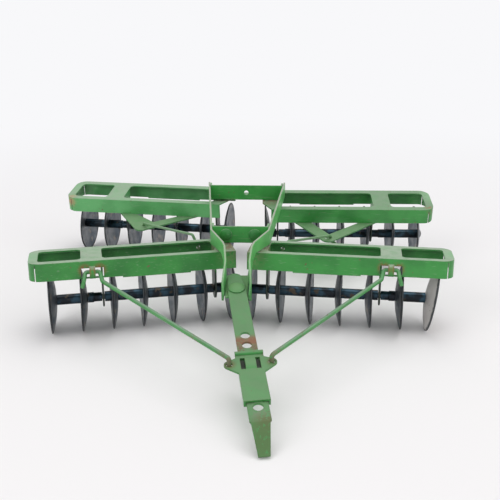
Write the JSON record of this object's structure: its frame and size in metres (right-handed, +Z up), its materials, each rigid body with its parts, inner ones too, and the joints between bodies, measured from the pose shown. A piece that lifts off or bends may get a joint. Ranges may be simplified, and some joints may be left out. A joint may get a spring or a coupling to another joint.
{
  "type": "toy disc harrow",
  "caption": "Pressed-steel toy tandem disc harrow with hinged disc gangs, wire links, side rods and a sliding latch on its sloping drawbar.",
  "frame": {"origin": "on the floor, on the centre line, under the middle of the outline (bottom centre of the bounding box)", "axes": "+X to the right seen from behind the hitch looking to the rear, +Y from the hitch to the rear, +Z up"},
  "size_m": [0.252, 0.286, 0.055],
  "materials": {
    "green_enamel": "worn gloss enamel with small rust chips",
    "disc_steel": "dull grey steel with darker rims",
    "dark_steel": "blackened steel with light brown patches"
  },
  "bodies": {
    "centre_frame": {"left_side_plate": "green_enamel", "right_side_plate": "green_enamel", "front_crossbar": "green_enamel", "rear_crossbar": "green_enamel", "front_crossbar_rivets": "green_enamel", "front_left_pivot_rivet": "green_enamel", "front_right_pivot_rivet": "green_enamel", "rear_left_pivot_rivet": "green_enamel", "rear_right_pivot_rivet": "green_enamel", "pivot_seat": "green_enamel", "drawbar_rivet": "green_enamel"},
    "drawbar_unit": {"drawbar": "green_enamel", "slider": "green_enamel"},
    "left_rod_unit": {"left_rod": "green_enamel"},
    "right_rod_unit": {"right_rod": "green_enamel"},
    "front_left_frame_unit": {"front_left_frame": "green_enamel"},
    "front_right_frame_unit": {"front_right_frame": "green_enamel"},
    "rear_left_frame_unit": {"rear_left_frame": "green_enamel", "left_v_plate": "green_enamel"},
    "rear_right_frame_unit": {"rear_right_frame": "green_enamel", "right_v_plate": "green_enamel"},
    "left_wire_unit": {"left_wire": "green_enamel"},
    "right_wire_unit": {"right_wire": "green_enamel"},
    "front_left_gang": {"front_left_axle": "dark_steel", "front_left_discs": "disc_steel", "front_left_spools": "dark_steel"},
    "front_right_gang": {"front_right_axle": "dark_steel", "front_right_discs": "disc_steel", "front_right_spools": "dark_steel"},
    "rear_left_gang": {"rear_left_axle": "dark_steel", "rear_left_discs": "disc_steel", "rear_left_spools": "dark_steel"},
    "rear_right_gang": {"rear_right_axle": "dark_steel", "rear_right_discs": "disc_steel", "rear_right_spools": "dark_steel"}
  },
  "joints": [
    {"name": "drawbar_swivel", "type": "hinge", "parent": "centre_frame", "child": "drawbar_unit", "pos_m": [0, -0.0338, 0.0347], "axis": [0, -0.2198, 0.9755], "range_deg": [-17.4, 0]},
    {"name": "front_left_swing", "type": "hinge", "parent": "centre_frame", "child": "front_left_frame_unit", "pos_m": [-0.013, 0.0159, 0.045], "axis": [0, 0, 1], "range_deg": [-11.8, 0]},
    {"name": "left_rod_turn", "type": "hinge", "parent": "drawbar_unit", "child": "left_rod_unit", "pos_m": [-0.00048, -0.09654, 0.02056], "axis": [-0.1138, -0.3643, 0.9243], "range_deg": [0, 8.8]},
    {"name": "rear_left_swing", "type": "hinge", "parent": "centre_frame", "child": "rear_left_frame_unit", "pos_m": [-0.017, 0.1034, 0.045], "axis": [0, 0, 1], "range_deg": [-1.9, 0]},
    {"name": "left_wire_turn", "type": "hinge", "parent": "rear_left_frame_unit", "child": "left_wire_unit", "pos_m": [-0.06864, 0.08457, 0.03053], "axis": [-0.1256, 0.1843, 0.9748], "range_deg": [0, 3.1]},
    {"name": "front_right_swing", "type": "hinge", "parent": "centre_frame", "child": "front_right_frame_unit", "pos_m": [0.013, 0.0159, 0.045], "axis": [0, 0, 1], "range_deg": [-12.1, 0]},
    {"name": "right_rod_turn", "type": "hinge", "parent": "drawbar_unit", "child": "right_rod_unit", "pos_m": [0.01969, -0.09353, 0.02124], "axis": [0.1524, -0.3344, 0.93], "range_deg": [0, 9.2]},
    {"name": "rear_right_swing", "type": "hinge", "parent": "centre_frame", "child": "rear_right_frame_unit", "pos_m": [0.017, 0.1034, 0.045], "axis": [0, 0, 1], "range_deg": [-2.3, 0]},
    {"name": "right_wire_turn", "type": "hinge", "parent": "rear_right_frame_unit", "child": "right_wire_unit", "pos_m": [0.05616, 0.06895, 0.02882], "axis": [0.1146, 0.1968, 0.9737], "range_deg": [0, 4.2]},
    {"name": "front_left_roll", "type": "hinge", "parent": "front_left_frame_unit", "child": "front_left_gang", "pos_m": [-0.10686, -0.01764, 0.01905], "axis": [0.9724, 0.2334, 0], "continuous": true},
    {"name": "front_right_roll", "type": "hinge", "parent": "front_right_frame_unit", "child": "front_right_gang", "pos_m": [0.11036, -0.00648, 0.01905], "axis": [0.9951, -0.0993, 0], "continuous": true},
    {"name": "rear_left_roll", "type": "hinge", "parent": "rear_left_frame_unit", "child": "rear_left_gang", "pos_m": [-0.11434, 0.12407, 0.01905], "axis": [0.993, -0.1184, 0], "continuous": true},
    {"name": "rear_right_roll", "type": "hinge", "parent": "rear_right_frame_unit", "child": "rear_right_gang", "pos_m": [0.11604, 0.10763, 0.01905], "axis": [0.9998, 0.0175, 0], "continuous": true}
  ],
  "couplings": [
    {"joint": "front_left_swing", "follows": "drawbar_swivel", "ratio": 0.6734},
    {"joint": "left_rod_turn", "follows": "drawbar_swivel", "ratio": -0.5022},
    {"joint": "rear_left_swing", "follows": "drawbar_swivel", "ratio": 0.1045},
    {"joint": "left_wire_turn", "follows": "drawbar_swivel", "ratio": -0.17},
    {"joint": "front_right_swing", "follows": "drawbar_swivel", "ratio": 0.6882},
    {"joint": "right_rod_turn", "follows": "drawbar_swivel", "ratio": -0.5224},
    {"joint": "rear_right_swing", "follows": "drawbar_swivel", "ratio": 0.1273},
    {"joint": "right_wire_turn", "follows": "drawbar_swivel", "ratio": -0.2356}
  ]
}
